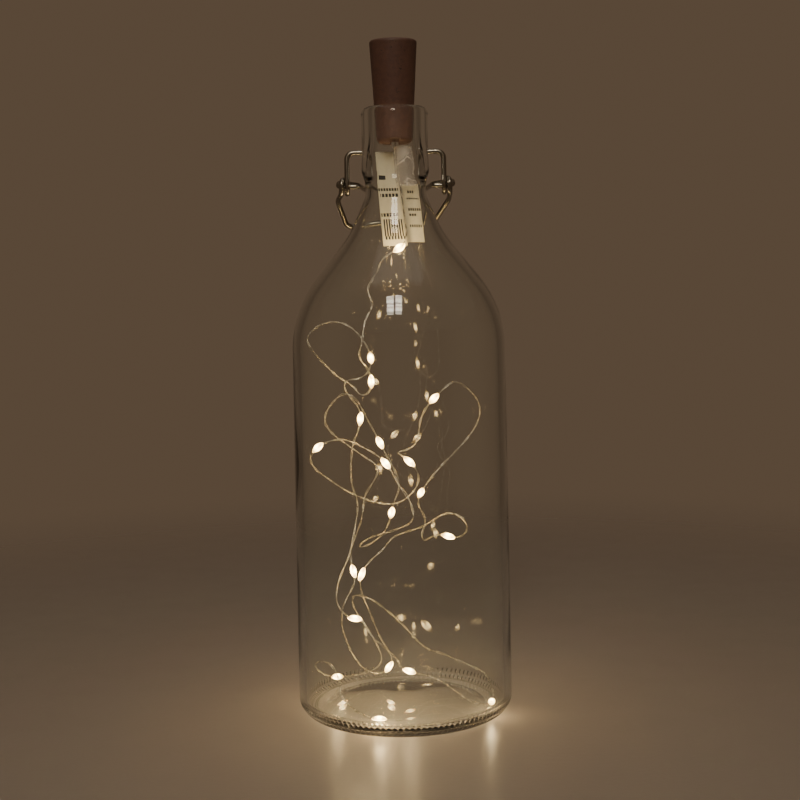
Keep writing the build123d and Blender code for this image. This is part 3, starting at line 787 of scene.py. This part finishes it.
def on_broken_line(value, stops):
    """The height of a broken line at a value, level before its first stop and after its last."""
    if value < stops[0][0]:
        return stops[0][1]
    for (start, low), (end, high) in zip(stops, stops[1:]):
        if value < end:
            return low + (value - start) / (end - start) * (high - low)
    return stops[-1][1]


def knurl_depth(radius, height, angle, chosen):
    """Depth of the hollows between the short bars of the two heel rows."""
    share = math.atan2(radius - HEEL_RADIUS, HEEL_HEIGHT - height)
    depth = 0
    for middle, half, lean in HEEL_ROWS:
        off = (share - middle) / half
        if abs(off) < 1:
            wave = math.cos((angle + off * lean / 40) * chosen.knurl_count)
            hollow = min(1, max(0, 0.5 + 0.9 * wave))
            depth += chosen.knurl_depth * hollow * (1 - off ** 4)
    return depth


def hand_over(piece, node, body=None):
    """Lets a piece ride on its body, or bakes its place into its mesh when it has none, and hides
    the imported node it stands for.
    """
    if body:
        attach(piece, body)
    else:
        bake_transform(piece)
    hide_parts(node)


class BOTTLE_LIGHT_OT_glass(Operator):
    """Turn the clear bottle, with its knurled heel and its two dimples"""

    bl_idname = "bottle_light.glass"
    bl_label = "Glass bottle"

    def execute(self, context):
        chosen = context.scene.bottle_light_bottle

        def spacing(place):
            if place.x > DIMPLE_WALL and abs(place.z - PIVOT_HEIGHT) < DIMPLE_REACH:
                return DIMPLE_EDGE
            if place.z < HEEL_TOP and place.x > 0.035:
                return HEEL_EDGE
            return PLAIN_EDGE

        outline = filled_in(rounded(BOTTLE_OUTLINE, math.radians(6)), spacing)
        bm = bmesh.new()
        add_turned(bm, outline, BOTTLE_SIDES)
        for vert in bm.verts:
            place = vert.co
            radius = math.hypot(place.x, place.y)
            if radius < 1e-6:
                continue
            outward = Vector((place.x, place.y, 0)) / radius
            outside = radius > on_broken_line(place.z, WALL_MIDDLES)
            from_heel = place - outward * HEEL_RADIUS - Vector((0, 0, HEEL_HEIGHT))
            if place.z < HEEL_TOP and radius > HEEL_WALL and from_heel.length > HEEL_REACH:
                angle = math.atan2(place.y, place.x)
                depth = knurl_depth(radius, place.z, angle, chosen)
                vert.co -= depth * from_heel.normalized()
            elif outside and abs(place.z - PIVOT_HEIGHT) < DIMPLE_REACH and radius > DIMPLE_WALL:
                off = math.hypot(abs(place.y), place.z - PIVOT_HEIGHT)
                vert.co -= outward * on_broken_line(off, DIMPLE_DEPTHS)
            elif not outside and 0.01 < place.z < 0.2:
                swell = noise.noise(Vector((place.x * 26, place.y * 26, place.z * 9)))
                vert.co += outward * swell * chosen.waviness
        bottle = finish_piece(bm, "bottle_glass", glass_material(chosen.tint))
        hand_over(bottle, "glass_bottle", "bottle")
        return {"FINISHED"}


class BOTTLE_LIGHT_OT_closure(Operator):
    """Bend the lever and the stopper's bail from round steel wire"""

    bl_idname = "bottle_light.closure"
    bl_label = "Closure wires"

    def execute(self, context):
        steel = context.scene.bottle_light_bottle.steel
        values = (steel, (0.2, 0.165, 0.115), 0.16)
        material = surface_material("Closure steel", "Drawn wire", values, 0.000003, 1.0)
        for name, body, node, corners in (
            ("closure_lever", "lever", "lever_wire", mirrored(LEVER_HALF, HANDLE_SKEWS)),
            ("closure_bail", "bail", "stopper_bail", mirrored(BAIL_HALF, {})),
        ):
            points = filled_in(rounded(corners, math.radians(8)), lambda place: 0.0015)
            radii = [WIRE_RADIUS] * len(points)
            radii[0] = radii[-1] = WIRE_RADIUS * 0.82
            bm = bmesh.new()
            add_tube(bm, points, radii, 20)
            hand_over(finish_piece(bm, name, material), node, body)
        return {"FINISHED"}


class BOTTLE_LIGHT_OT_plug(Operator):
    """Turn the dark plug's shell and cut the string's groove across its foot"""

    bl_idname = "bottle_light.plug"
    bl_label = "Plug"

    def execute(self, context):
        chosen = context.scene.bottle_light_plug
        outline = filled_in(rounded(PLUG_OUTLINE, math.radians(10)), lambda place: 0.0005)
        bm = bmesh.new()
        add_turned(bm, outline, PLUG_SIDES)
        for vert in bm.verts:
            place = vert.co
            radius = math.hypot(place.x, place.y)
            on_foot = place.z < PLUG_BOTTOM + FOOT_HEIGHT and radius < FOOT_RADIUS
            if on_foot and abs(place.x) < GROOVE_HALF_WIDTH:
                vert.co.z = max(place.z, PLUG_BOTTOM + GROOVE_DEPTH)
            elif radius > PITTED_WALL and PLUG_BOTTOM + 0.002 < place.z < PLUG_TOP - 0.001:
                grain = noise.fractal(place * 700, 1.0, 2.0, 3)
                vert.co -= Vector((place.x, place.y, 0)) / radius * max(0, grain) * PIT_DEPTH
        values = (chosen.cork, chosen.pits, 1 / chosen.grain)
        material = surface_material("Dark cork", "Cork grain", values, 0.00006)
        shell = finish_piece(bm, "plug_shell", material)
        hand_over(shell, "cork_shell", "cork_light")
        return {"FINISHED"}


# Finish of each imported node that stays: main colour, rubbed colour, grain per metre, low and high
# roughness, relief, and whether it is metal.
KEPT_FINISHES = {
    "top_cap": ((0.05, 0.024, 0.018), (0.085, 0.045, 0.035), 2600, 0.38, 0.58, 0.00004, 0),
    "switch_slider": ((0.012, 0.012, 0.013), (0.04, 0.04, 0.042), 5000, 0.3, 0.5, 0.00002, 0),
    "switch_body": ((0.03, 0.03, 0.032), (0.07, 0.07, 0.07), 4000, 0.35, 0.55, 0.00002, 0),
    "battery_carrier": ((0.02, 0.02, 0.021), (0.05, 0.05, 0.05), 3000, 0.4, 0.6, 0.00003, 0),
    "button_cells": ((0.62, 0.61, 0.59), (0.45, 0.44, 0.42), 1500, 0.18, 0.36, 0.00001, 1),
    "cell_spring": ((0.58, 0.57, 0.55), (0.4, 0.38, 0.34), 2500, 0.2, 0.4, 0.00001, 1),
    "cell_plate": ((0.6, 0.58, 0.54), (0.42, 0.39, 0.34), 2500, 0.2, 0.4, 0.00001, 1),
    "carrier_rails": ((0.68, 0.5, 0.24), (0.4, 0.28, 0.14), 2500, 0.22, 0.42, 0.00001, 1),
    "board_contacts": ((0.7, 0.52, 0.25), (0.42, 0.3, 0.15), 2500, 0.22, 0.42, 0.00001, 1),
    "circuit_board": ((0.02, 0.11, 0.05), (0.04, 0.17, 0.08), 3500, 0.3, 0.5, 0.00002, 0),
    "board_resistor": ((0.02, 0.02, 0.02), (0.06, 0.06, 0.06), 6000, 0.35, 0.6, 0.00001, 0),
    "lead_wires": ((0.02, 0.02, 0.02), (0.05, 0.05, 0.05), 4000, 0.35, 0.55, 0.00001, 0),
    "exit_seal": ((0.45, 0.4, 0.3), (0.6, 0.54, 0.42), 1800, 0.15, 0.35, 0.00004, 0),
}


class BOTTLE_LIGHT_OT_inner_parts(Operator):
    """Give the cap, the switch, the cell holder and what it holds their finishes"""

    bl_idname = "bottle_light.inner_parts"
    bl_label = "Cap and inner parts"

    def execute(self, context):
        for node, (*values, relief, metal) in KEPT_FINISHES.items():
            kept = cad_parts[node]
            title = node.replace("_", " ").capitalize()
            finish = surface_material(title, "Moulded surface", values, relief, float(metal))
            kept.data.materials.clear()
            kept.data.materials.append(finish)
        return {"FINISHED"}


def string_line():
    """The string's own smooth line, read from its spline."""
    curve = bpy.data.curves.new("string_route", "CURVE")
    curve.dimensions = "3D"
    curve.resolution_u = 12
    spline = curve.splines.new("NURBS")
    spline.points.add(len(ROUTE) - 1)
    for point, place in zip(spline.points, ROUTE):
        point.co = (*place, 1)
    spline.order_u = 3
    spline.use_endpoint_u = True
    holder = add_object("string_route", curve)
    bpy.context.view_layer.update()
    line = bpy.data.meshes.new_from_object(holder)
    points = [vert.co.copy() for vert in line.vertices]
    bpy.data.objects.remove(holder)
    bpy.data.curves.remove(curve)
    bpy.data.meshes.remove(line)
    return points


def light_places():
    """Middle, direction and seeded shape values of each light on the string."""
    chance = random.Random(14)
    places = []
    for start in LIGHT_STARTS:
        here = Vector(ROUTE[start])
        there = Vector(ROUTE[start + 1])
        places.append((
            (here + there) / 2,
            (there - here).normalized(),
            chance.uniform(0.9, 1.0),
            chance.uniform(0.88, 1.0),
            chance.uniform(-0.06, 0.06),
        ))
    return places


class BOTTLE_LIGHT_OT_drops(Operator):
    """Shape the twenty clear resin drops on the string"""

    bl_idname = "bottle_light.drops"
    bl_label = "Resin drops"

    def execute(self, context):
        chosen = context.scene.bottle_light_string
        bm = bmesh.new()
        end_radius = 0.0003
        shares = [step / 18 for step in range(19)]
        for middle, way, long, wide, lean in light_places():
            length = chosen.drop_length * long
            swell = chosen.drop_radius * wide - end_radius
            side = way.orthogonal().normalized()
            up = way.cross(side) * 0.94
            rings = []
            for share in shares:
                eased = min(max(share + lean * math.sin(math.pi * share), 0), 1)
                width = end_radius + swell * math.sin(math.pi * eased) ** 0.75
                along = middle + way * (share - 0.5) * length
                rings.append(add_ring(bm, along, side * width, up * width, 18))
            add_skin(bm, rings, shares)
        drops = finish_piece(bm, "string_drops", resin_material(chosen.glow))
        hand_over(drops, "led_beads")
        return {"FINISHED"}


class BOTTLE_LIGHT_OT_chips(Operator):
    """Set a bright chip inside each resin drop"""

    bl_idname = "bottle_light.chips"
    bl_label = "Light chips"

    def execute(self, context):
        chosen = context.scene.bottle_light_string
        bm = bmesh.new()
        for middle, way, _, _, _ in light_places():
            side = way.cross(Vector((0, 0, 1))).normalized()
            up = side.cross(way)
            turn = Matrix((way, side, up)).transposed().to_4x4()
            box = bmesh.ops.create_cube(bm, size=1)["verts"]
            bmesh.ops.scale(bm, vec=CHIP_SIZE, verts=box)
            edges = list({edge for vert in box for edge in vert.link_edges})
            bevelled = bmesh.ops.bevel(
                bm, geom=box + edges, offset=CHIP_EDGE, segments=2, profile=0.5, affect="EDGES",
            )
            shaped = list({vert for face in bevelled["faces"] for vert in face.verts})
            place = Matrix.Translation(middle + up * CHIP_RISE) @ turn
            bmesh.ops.transform(bm, matrix=place, verts=shaped)
        chips = finish_piece(bm, "string_chips", chip_material(chosen.glow))
        hand_over(chips, "led_chips")
        return {"FINISHED"}


def leaning_leaf(bm, x, z, widths, height, lean, front, bow, curl, thickness):
    """Adds a thin bowed leaf that leans to the left on its way up, with UVs over its face."""
    uv = bm.loops.layers.uv.verify()
    columns, rows = 16, 48
    grids = []
    for back, flipped in ((0, False), (thickness, True)):
        grid = {}
        for j in range(rows + 1):
            for i in range(columns + 1):
                a, b = i / columns, j / rows
                width = widths[0] + (widths[1] - widths[0]) * b
                ripple = noise.noise(Vector((a * 1.3, b * 2.6, x * 400)))
                grid[i, j] = bm.verts.new((
                    x + (a - 0.5) * width - lean * b,
                    front + bow * (1 - (2 * a - 1) ** 2) + ripple * curl + back,
                    z + height * b,
                ))
        grids.append(grid)
        for j in range(rows):
            for i in range(columns):
                corners = [(i, j), (i + 1, j), (i + 1, j + 1), (i, j + 1)]
                if flipped:
                    corners.reverse()
                face = bm.faces.new([grid[corner] for corner in corners])
                for loop, (a, b) in zip(face.loops, corners):
                    across = a / columns
                    loop[uv].uv = (1 - across if flipped else across, b / rows)
    ahead, behind = grids
    rim = (
        [(i, 0) for i in range(columns)]
        + [(columns, j) for j in range(rows)]
        + [(i, rows) for i in range(columns, 0, -1)]
        + [(0, j) for j in range(rows, 0, -1)]
    )
    for here, there in zip(rim, rim[1:] + rim[:1]):
        face = bm.faces.new((ahead[there], ahead[here], behind[here], behind[there]))
        for loop in face.loops:
            loop[uv].uv = (0.02, 0.02)


# The label's pieces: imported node, marks, and the shape's values for leaning_leaf in their order.
LEAVES = {
    "label_left": ("label_left_leaf", LEFT_MARKS, (
        -0.0005, 0.1976, (0.0106, 0.0088), 0.0426, 0.0041, 0.00085, 0.0011, 0.0002, 0.00014,
    )),
    "label_right": ("label_right_leaf", RIGHT_MARKS, (
        0.0083, 0.199, (0.0078, 0.0074), 0.0268, 0.002, 0.0015, 0.0011, 0.0002, 0.00014,
    )),
    "label_fold": ("label_film", None, (
        0.0049, 0.2248, (0.0092, 0.0086), 0.0174, 0.0016, 0.00045, -0.0043, 0.0004, 0.0001,
    )),
}


class BOTTLE_LIGHT_OT_label(Operator):
    """Fold the flag label round the string, with plain ruled marks on its two leaves"""

    bl_idname = "bottle_light.label"
    bl_label = "Flag label"

    def execute(self, context):
        chosen = context.scene.bottle_light_label
        for name, (node, marks, shape) in LEAVES.items():
            if marks:
                title = name.replace("_", " ").capitalize()
                material = paper_material(title, chosen.paper, chosen.ink, marks)
            else:
                material = film_material()
            bm = bmesh.new()
            leaning_leaf(bm, *shape)
            hand_over(finish_piece(bm, name, material), node)
        return {"FINISHED"}


class BOTTLE_LIGHT_OT_string(Operator):
    bl_idname = "bottle_light.string"
    bl_label = "String of lights"

    def execute(self, context):
        chosen = context.scene.bottle_light_string
        line = string_line()
        points = paced(line, STRING_PACE)
        frames = steady_frames(points)
        bm = bmesh.new()
        for start in (0, math.pi):
            strand = []
            for index, (point, (way, side)) in enumerate(zip(points, frames)):
                run = index * STRING_PACE
                spread = 1 + 2.2 * max(0, noise.noise(Vector((run * 45, start, 0))))
                angle = start + 2 * math.pi * run / chosen.twist_pitch
                angle += 2 * noise.noise(Vector((run * 35, 9, 0)))
                up = way.cross(side)
                strand.append(
                    point
                    + (side * math.cos(angle) + up * math.sin(angle))
                    * chosen.strand_offset * spread
                )
            add_tube(bm, strand, [chosen.strand_radius] * len(strand), 6)
        values = ((0.83, 0.78, 0.66), (0.5, 0.4, 0.26), 0.4)
        material = surface_material("Silver lacquer", "Drawn wire", values, 0.00001, 0.85)
        wire = finish_piece(bm, "string_wires", material)
        hand_over(wire, "fairy_wire")
        return {"FINISHED"}


def soft_light(name, place, target, width, height, power, colour):
    """A rectangular soft light aimed at a place."""
    lamp = bpy.data.lights.new(name, "AREA")
    lamp.shape = "RECTANGLE"
    lamp.size = width
    lamp.size_y = height
    lamp.energy = power
    lamp.color = colour
    holder = add_object(name, lamp)
    holder.location = place
    holder.rotation_euler = (Vector(target) - Vector(place)).to_track_quat("-Z", "Y").to_euler()


def floor_material(colour):
    """Pale, half-glossy table top that fades out all round into the surroundings."""
    material, tree = empty_material("Pale floor")
    rubbed = [0.96 * value for value in colour]
    made = use_group(tree, "Moulded surface", colour, rubbed, 400.0, 0.28, 0.36)
    shader = add_node(tree, "ShaderNodeBsdfPrincipled", {
        "Base Color": made["Colour"],
        "Roughness": made["Roughness"],
        "Normal": bump(tree, made["Height"], 0.00005),
    })
    away = add_node(tree, "ShaderNodeVectorMath", {0: place_node(tree)}, operation="LENGTH")
    faded = add_node(
        tree, "ShaderNodeMapRange", {0: away.outputs["Value"], 1: 0.3, 2: 0.62},
        interpolation_type="SMOOTHSTEP",
    )
    bare = tree.nodes.new("ShaderNodeBsdfTransparent")
    end_in_mix(tree, faded.outputs[0], shader, bare)
    return material


def surroundings(colour):
    """A plain warm backdrop, the same on four sides and darker between them."""
    world = bpy.data.worlds.new("Surroundings")
    world.use_nodes = True
    tree = world.node_tree
    way = add_node(tree, "ShaderNodeTexCoord").outputs["Generated"]
    x, y, _ = add_node(tree, "ShaderNodeSeparateXYZ", {0: way}).outputs
    squares = math_node(tree, "MULTIPLY_ADD", x, x, math_node(tree, "MULTIPLY_ADD", y, y, 0.0001))
    double = math_node(tree, "DIVIDE", times(tree, x, y), squares)
    between = times(tree, times(tree, double, double), 4.0)
    shade = blend_colours(
        tree, stretch(tree, between, 0.3, 0.95), (*colour, 1),
        tuple(0.62 * value for value in colour) + (1,),
    )
    tree.links.new(shade, tree.nodes["Background"].inputs[0])
    return world


class BOTTLE_LIGHT_OT_stage(Operator):
    """Set up the pale floor, the soft lights and the camera"""

    bl_idname = "bottle_light.stage"
    bl_label = "Stage"

    def execute(self, context):
        chosen = context.scene.bottle_light_stage
        bm = bmesh.new()
        bmesh.ops.create_circle(bm, cap_ends=True, segments=96, radius=FLOOR_RADIUS)
        floor = finish_piece(bm, "floor", floor_material(chosen.floor))
        context.scene.world = surroundings(chosen.backdrop)

        for across in (-0.075, 0.075):
            for up in (-0.08, 0.08):
                off = Vector((across, 0, 0)) + up * WINDOW_UP
                soft_light(
                    "window", off + WINDOW_PLACE, off + Vector((0, -0.04, 0.17)),
                    0.12, 0.13, chosen.key_power / 4, (1, 0.9, 0.74),
                )
        soft_light(
            "top", (0, 0.1, 1.2), (0, 0, 0.1), 0.9, 0.9, chosen.key_power * 0.25, (1, 0.94, 0.85)
        )

        camera = add_object("camera", bpy.data.cameras.new("camera"))
        camera.data.lens = CAMERA_LENS
        camera.data.sensor_width = 36
        camera.data.shift_x = 0.0037
        camera.data.shift_y = -0.18
        camera.data.clip_start = 0.02
        camera.matrix_world = (
            Matrix.Translation(CAMERA_PLACE)
            @ Matrix.Rotation(math.radians(90), 4, "X")
            @ Matrix.Rotation(math.radians(CAMERA_ROLL), 4, "Z")
        )
        context.scene.camera = camera
        return {"FINISHED"}


class BOTTLE_LIGHT_PT_panel(Panel):
    """Lists the settings and the steps of the bottle light"""

    bl_label = "Bottle light"
    bl_idname = "BOTTLE_LIGHT_PT_panel"
    bl_space_type = "VIEW_3D"
    bl_region_type = "UI"
    bl_category = "Bottle light"

    def draw(self, context):
        for group_name, kind in SETTINGS.items():
            box = self.layout.box()
            for name in kind.__annotations__:
                box.prop(getattr(context.scene, group_name), name)
        for step in STEPS:
            self.layout.operator(step.bl_idname)


SETTINGS = {
    "bottle_light_bottle": BottleSettings,
    "bottle_light_plug": PlugSettings,
    "bottle_light_string": StringSettings,
    "bottle_light_label": LabelSettings,
    "bottle_light_stage": StageSettings,
}
STEPS = [
    BOTTLE_LIGHT_OT_stage,
    BOTTLE_LIGHT_OT_drops,
    BOTTLE_LIGHT_OT_chips,
    BOTTLE_LIGHT_OT_label,
    BOTTLE_LIGHT_OT_string,
    BOTTLE_LIGHT_OT_glass,
    BOTTLE_LIGHT_OT_closure,
    BOTTLE_LIGHT_OT_plug,
    BOTTLE_LIGHT_OT_inner_parts,
]


def register():
    """Registers the settings, the steps and the panel."""
    for name, group in SETTINGS.items():
        bpy.utils.register_class(group)
        setattr(bpy.types.Scene, name, PointerProperty(type=group))
    for step in STEPS:
        bpy.utils.register_class(step)
    bpy.utils.register_class(BOTTLE_LIGHT_PT_panel)


def unregister():
    """Takes them out again."""
    bpy.utils.unregister_class(BOTTLE_LIGHT_PT_panel)
    for step in reversed(STEPS):
        bpy.utils.unregister_class(step)
    for name, group in SETTINGS.items():
        delattr(bpy.types.Scene, name)
        bpy.utils.unregister_class(group)


def main():
    """Builds the whole scene, one step after another."""
    register()
    for step in STEPS:
        family, name = step.bl_idname.split(".")
        getattr(getattr(bpy.ops, family), name)()
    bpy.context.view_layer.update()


if __name__ == "__main__":
    main()
